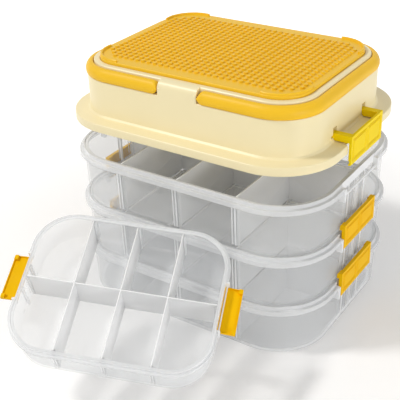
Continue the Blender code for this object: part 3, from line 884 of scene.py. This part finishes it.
def handle_pivot():
    """(x, z) of the right handle's pegs, from the plate's top face."""
    height = rebate_drop - gap - handle_top_drop
    return block_half + handle_end_gap + height / 2, -handle_top_drop - height / 2


def handle_section():
    """The handle's bulged section as (outset from the plate's edge, height)."""
    inner = ring_outset + handle_gap
    bottom = -rebate_drop + gap
    height = -handle_top_drop - bottom
    shares = (
        (0.0, 0.05),
        (0.0, 0.90),
        (0.03, 0.97),
        (0.1, 1.0),
        (0.24, 1.0),
        (0.38, 0.985),
        (0.53, 0.935),
        (0.66, 0.86),
        (0.79, 0.76),
        (0.9, 0.63),
        (0.965, 0.51),
        (1.0, 0.39),
        (1.0, 0.27),
        (0.98, 0.15),
        (0.93, 0.05),
        (0.86, 0.0),
        (0.06, 0.0),
    )
    return [(inner + a * handle_width, bottom + b * height) for a, b in shares]


def handle_stations():
    """(place on the plate's edge, outward direction, height share) from the front end to the back end."""
    pivot_x, _ = handle_pivot()
    radius = pivot_x - block_half - handle_end_gap
    arm = []
    for angle in handle_end_angles:
        turn = math.radians(angle)
        place = Vector((pivot_x - radius * math.sin(turn), -plate_half_y, 0.0))
        arm.append((place, Vector((0.0, -1.0, 0.0)), math.cos(turn)))
    corner = []
    for step in range(corner_steps + 1):
        angle = (step / corner_steps - 1) * math.pi / 2
        out = Vector((math.cos(angle), math.sin(angle), 0.0))
        middle = Vector((plate_half_x - plate_corner, plate_corner - plate_half_y, 0.0))
        corner.append((middle + plate_corner * out, out, 1.0))
    half = arm + corner
    flip = Matrix.Scale(-1.0, 3, (0.0, 1.0, 0.0))
    back = [(flip @ place, flip @ out, share) for place, out, share in reversed(half)]
    return half + back


def handle():
    """The right handle, with the line through its pegs at the origin."""
    pivot_x, pivot_z = handle_pivot()
    section = handle_section()
    bm = bmesh.new()
    order = bm.verts.layers.int.new("order")
    verts = [bm.verts.new((0.0, 0.0, 0.0)) for _ in section]
    for index, vert in enumerate(verts):
        vert[order] = index
    cap = bm.faces.new(verts)
    for number, (place, out, share) in enumerate(handle_stations()):
        if number:
            cap = next_ring(bm, cap, keep=number == 1)
        for vert in cap.verts:
            outset, height = section[vert[order]]
            vert.co = place + out * outset - Vector((pivot_x, 0.0, 0.0))
            vert.co.z = (height - pivot_z) * share
    pegs = bmesh.new()
    outer = plate_half_y + ring_outset + handle_gap + peg_root
    inner = plate_half_y + ring_outset - lid_wall - gap
    add_rod(pegs, (0.0, (outer + inner) / 2, 0.0), peg_radius, outer - inner)
    mirrored(pegs, y=True)
    return boolean_mesh(mesh_from(bm, "handle"), [("UNION", mesh_from(pegs, "pegs"))])


def moulded_plastic(name, slot_name, color, shade, roughness, alpha=1.0, specular=0.5):
    """Injection moulded plastic: faint drifts of colour, uneven gloss and a fine satin grain."""
    material = bpy.data.materials.new(name)
    material.use_nodes = True
    material["slot"] = slot_name
    nodes = material.node_tree.nodes
    links = material.node_tree.links
    shader = nodes["Principled BSDF"]
    shader.inputs["IOR"].default_value = plastic_ior
    shader.inputs["Specular IOR Level"].default_value = specular
    shader.inputs["Alpha"].default_value = alpha
    place = nodes.new("ShaderNodeTexCoord")
    drift = nodes.new("ShaderNodeTexNoise")
    drift.inputs["Scale"].default_value = drift_scale
    drift.inputs["Detail"].default_value = 3.0
    links.new(place.outputs["Object"], drift.inputs["Vector"])
    tint = nodes.new("ShaderNodeValToRGB")
    tint.color_ramp.elements[0].position = 0.3
    tint.color_ramp.elements[0].color = (*shade, 1.0)
    tint.color_ramp.elements[1].position = 0.7
    tint.color_ramp.elements[1].color = (*color, 1.0)
    links.new(drift.outputs["Fac"], tint.inputs["Fac"])
    links.new(tint.outputs["Color"], shader.inputs["Base Color"])
    grain = nodes.new("ShaderNodeTexNoise")
    grain.inputs["Scale"].default_value = grain_scale
    grain.inputs["Detail"].default_value = 2.0
    links.new(place.outputs["Object"], grain.inputs["Vector"])
    gloss = nodes.new("ShaderNodeMapRange")
    gloss.inputs["To Min"].default_value = roughness - gloss_spread
    gloss.inputs["To Max"].default_value = roughness + gloss_spread
    links.new(grain.outputs["Fac"], gloss.inputs["Value"])
    links.new(gloss.outputs["Result"], shader.inputs["Roughness"])
    relief = nodes.new("ShaderNodeBump")
    relief.inputs["Strength"].default_value = grain_strength
    relief.inputs["Distance"].default_value = grain_depth
    links.new(grain.outputs["Fac"], relief.inputs["Height"])
    links.new(relief.outputs["Normal"], shader.inputs["Normal"])
    return material


frosted = moulded_plastic(
    "frosted clear plastic", "frosted_clear", (0.90, 0.92, 0.94), (0.87, 0.89, 0.91), 0.28, alpha=0.23
)
frosted_edge = moulded_plastic(
    "frosted rim plastic", "frosted_clear", (0.88, 0.89, 0.90), (0.85, 0.86, 0.87), 0.24, alpha=0.62
)
frosted_rib = moulded_plastic(
    "frosted rib plastic", "frosted_clear", (0.96, 0.97, 0.98), (0.93, 0.94, 0.95), 0.24, alpha=0.8
)
milky = moulded_plastic(
    "milky divider plastic", "milky_divider", (0.94, 0.945, 0.95), (0.91, 0.915, 0.92), 0.38, alpha=0.6
)
milky_edge = moulded_plastic(
    "milky divider edge", "milky_divider", (0.97, 0.97, 0.975), (0.94, 0.945, 0.95), 0.34, alpha=0.92
)
cream = moulded_plastic("cream plastic", "cream", (0.90, 0.79, 0.49), (0.88, 0.77, 0.47), 0.36, specular=0.4)
amber = moulded_plastic(
    "amber plastic", "amber", (0.92, 0.56, 0.025), (0.89, 0.535, 0.02), 0.36, specular=0.2
)
amber_satin = moulded_plastic(
    "satin amber plastic", "amber", (0.92, 0.555, 0.025), (0.89, 0.53, 0.02), 0.42, specular=0.2
)
lemon = moulded_plastic(
    "lemon plastic", "latch_yellow", (0.95, 0.71, 0.006), (0.93, 0.68, 0.004), 0.42, specular=0.06
)
deep_yellow = moulded_plastic(
    "deep yellow plastic", "latch_yellow", (0.95, 0.55, 0.002), (0.92, 0.52, 0.002), 0.42, specular=0.06
)


def show_tray(name, place):
    """One tray's shell and its four dividers."""
    shell, spine = name + "_shell", name + "_spine"
    show(shell + "_shown", tray_mesh, frosted, name, shell, place, (frosted_edge, frosted_rib))
    show(spine + "_shown", spine_mesh, milky, name, spine + "_divider", place, (milky_edge,))
    for label, x in zip(("left", "middle", "right"), divider_places):
        spot = place @ Matrix.Translation((x, 0.0, 0.0))
        node = f"{name}_{label}_divider"
        show(node + "_shown", cross_mesh, milky, name, node, spot, (milky_edge,))


def show_tray_latches(name, place, opened, material):
    for label, turned in (("right", 0.0), ("left", math.pi)):
        spot = place @ Matrix.Rotation(turned, 4, "Z")
        spot = spot @ Matrix.Translation((bar_x, 0.0, bar_height)) @ Matrix.Rotation(opened, 4, "Y")
        node = f"{name}_{label}_latch"
        show(node + "_shown", tray_latch_mesh, material, node, node, spot)


tray_mesh = tray_shell()
ledge = lip_inset + lip_thickness + ledge_width
spine_mesh = divider("spine", tray_half_x - ledge - loose_gap, divider_places, True)
cross_mesh = divider("cross", tray_half_y - ledge - loose_gap, [0.0], False)
cross_mesh.transform(Matrix.Rotation(math.pi / 2, 4, "Z"))
tray_latch_mesh = tray_latch()
for step, tray in enumerate(("bottom_tray", "middle_tray", "top_tray")):
    level = Matrix.Translation((0.0, 0.0, step * tray_pitch))
    show_tray(tray, level)
    if tray != "top_tray":
        show_tray_latches(tray, level, 0.0, deep_yellow)
front_place = Matrix.Translation(front_origin) @ front_turn @ Matrix.Scale(front_share, 4)
show_tray("front_tray", front_place)
show_tray_latches("front_tray", front_place, front_latch_open, deep_yellow)

lid_place = Matrix.Translation((0.0, 0.0, plate_top))
show("lid_hood_shown", hood(), cream, "lid", "lid_hood", lid_place)
show("studded_plate_shown", studded_plate(), amber, "lid", "studded_baseplate", lid_place)
handle_mesh = handle()
lid_latch_mesh = lid_latch()
handle_x, handle_z = handle_pivot()
latch_x, latch_z = lid_latch_pivot()
for side, turned in (("right", 0.0), ("left", math.pi)):
    turn = Matrix.Rotation(turned, 4, "Z")
    spot = lid_place @ turn @ Matrix.Translation((handle_x, 0.0, handle_z))
    show(side + "_handle_shown", handle_mesh, amber_satin, side + "_handle", side + "_handle", spot)
    spot = turn @ Matrix.Translation((latch_x, 0.0, latch_z))
    node = f"lid_{side}_latch"
    show(node + "_shown", lid_latch_mesh, lemon, node, node, spot)


def seen_by_eye(nodes, links):
    """One for what the camera sees directly, in a gloss or through clear plastic, nothing for lighting."""
    path = nodes.new("ShaderNodeLightPath")
    direct = nodes.new("ShaderNodeMath")
    direct.operation = "MAXIMUM"
    links.new(path.outputs["Is Camera Ray"], direct.inputs[0])
    links.new(path.outputs["Is Glossy Ray"], direct.inputs[1])
    either = nodes.new("ShaderNodeMath")
    either.operation = "MAXIMUM"
    links.new(direct.outputs[0], either.inputs[0])
    links.new(path.outputs["Is Transmission Ray"], either.inputs[1])
    return either.outputs[0]


def pale_floor():
    """A plain floor whose glow is seen but lights nothing, with less of it near the box as painted shade that
    deepens its shadow.
    """
    bm = bmesh.new()
    bmesh.ops.create_grid(bm, x_segments=1, y_segments=1, size=floor_half)
    floor = bpy.data.objects.new("floor", mesh_from(bm, "floor"))
    bpy.context.scene.collection.objects.link(floor)
    material = bpy.data.materials.new("pale floor")
    material.use_nodes = True
    shader = material.node_tree.nodes["Principled BSDF"]
    shader.inputs["Base Color"].default_value = floor_color
    shader.inputs["Roughness"].default_value = floor_roughness
    links = material.node_tree.links
    nodes = material.node_tree.nodes
    glow = nodes.new("ShaderNodeEmission")
    lifted = nodes.new("ShaderNodeMath")
    lifted.operation = "MULTIPLY"
    both = nodes.new("ShaderNodeAddShader")
    place = nodes.new("ShaderNodeTexCoord")
    distance = nodes.new("ShaderNodeVectorMath")
    distance.operation = "LENGTH"
    fade = nodes.new("ShaderNodeMapRange")
    fade.interpolation_type = "SMOOTHSTEP"
    fade.inputs["From Min"].default_value = glow_near
    fade.inputs["From Max"].default_value = glow_far
    fade.inputs["To Min"].default_value = glow_low
    fade.inputs["To Max"].default_value = glow_high
    links.new(place.outputs["Object"], distance.inputs[0])
    links.new(distance.outputs["Value"], fade.inputs["Value"])
    links.new(seen_by_eye(nodes, links), lifted.inputs[0])
    links.new(fade.outputs["Result"], lifted.inputs[1])
    links.new(lifted.outputs[0], glow.inputs["Strength"])
    links.new(shader.outputs[0], both.inputs[0])
    links.new(glow.outputs[0], both.inputs[1])
    links.new(both.outputs[0], nodes["Material Output"].inputs["Surface"])
    floor.data.materials.append(material)


def white_surround(strength):
    """A world that lights evenly and shows as white."""
    world = bpy.data.worlds.new("studio")
    bpy.context.scene.world = world
    world.use_nodes = True
    nodes = world.node_tree.nodes
    links = world.node_tree.links
    plain = nodes["Background"]
    plain.inputs["Color"].default_value = (*white, 1.0)
    plain.inputs["Strength"].default_value = strength
    shown = nodes.new("ShaderNodeBackground")
    shown.inputs["Color"].default_value = (*white, 1.0)
    shown.inputs["Strength"].default_value = 1.0
    mix = nodes.new("ShaderNodeMixShader")
    links.new(seen_by_eye(nodes, links), mix.inputs["Fac"])
    links.new(plain.outputs[0], mix.inputs[1])
    links.new(shown.outputs[0], mix.inputs[2])
    links.new(mix.outputs[0], nodes["World Output"].inputs["Surface"])


def add_lamp(name, spot, target, size, watts, color=white):
    lamp = bpy.data.lights.new(name, "AREA")
    lamp.shape = "SQUARE"
    lamp.size = size
    lamp.energy = watts
    lamp.color = color
    item = bpy.data.objects.new(name, lamp)
    bpy.context.scene.collection.objects.link(item)
    item.location = spot
    item.rotation_euler = (Vector(target) - Vector(spot)).to_track_quat("-Z", "Y").to_euler()


def add_camera():
    """At the photograph's viewpoint, with its lens worked out for a square picture."""
    yaw, pitch, roll = camera_yaw, camera_pitch, camera_roll
    camera = bpy.data.cameras.new("camera")
    camera.sensor_width = 36.0
    camera.lens = focal_pixels / picture_width * camera.sensor_width
    camera.clip_start = 0.05
    camera.clip_end = 20.0
    item = bpy.data.objects.new("camera", camera)
    bpy.context.scene.collection.objects.link(item)
    look = Vector((math.sin(yaw) * math.cos(pitch), math.cos(yaw) * math.cos(pitch), -math.sin(pitch)))
    level_right = Vector((math.cos(yaw), -math.sin(yaw), 0.0))
    level_up = level_right.cross(look)
    right = math.cos(roll) * level_right + math.sin(roll) * level_up
    up = math.cos(roll) * level_up - math.sin(roll) * level_right
    turn = Matrix((right, up, -look)).transposed().to_4x4()
    item.matrix_world = Matrix.Translation(camera_place) @ turn
    bpy.context.scene.camera = item


pale_floor()
white_surround(world_strength)
add_lamp("key", (-2.2, -1.8, 3.8), (0.0, 0.0, 0.15), 0.6, 101.0, (1.0, 0.985, 0.96))
add_lamp("fill", (2.8, -0.9, 0.5), (0.0, 0.0, 0.2), 0.9, 28.0)
add_camera()
bpy.context.scene.cycles.transparent_max_bounces = see_through_layers
bpy.context.scene.view_settings.view_transform = "Standard"
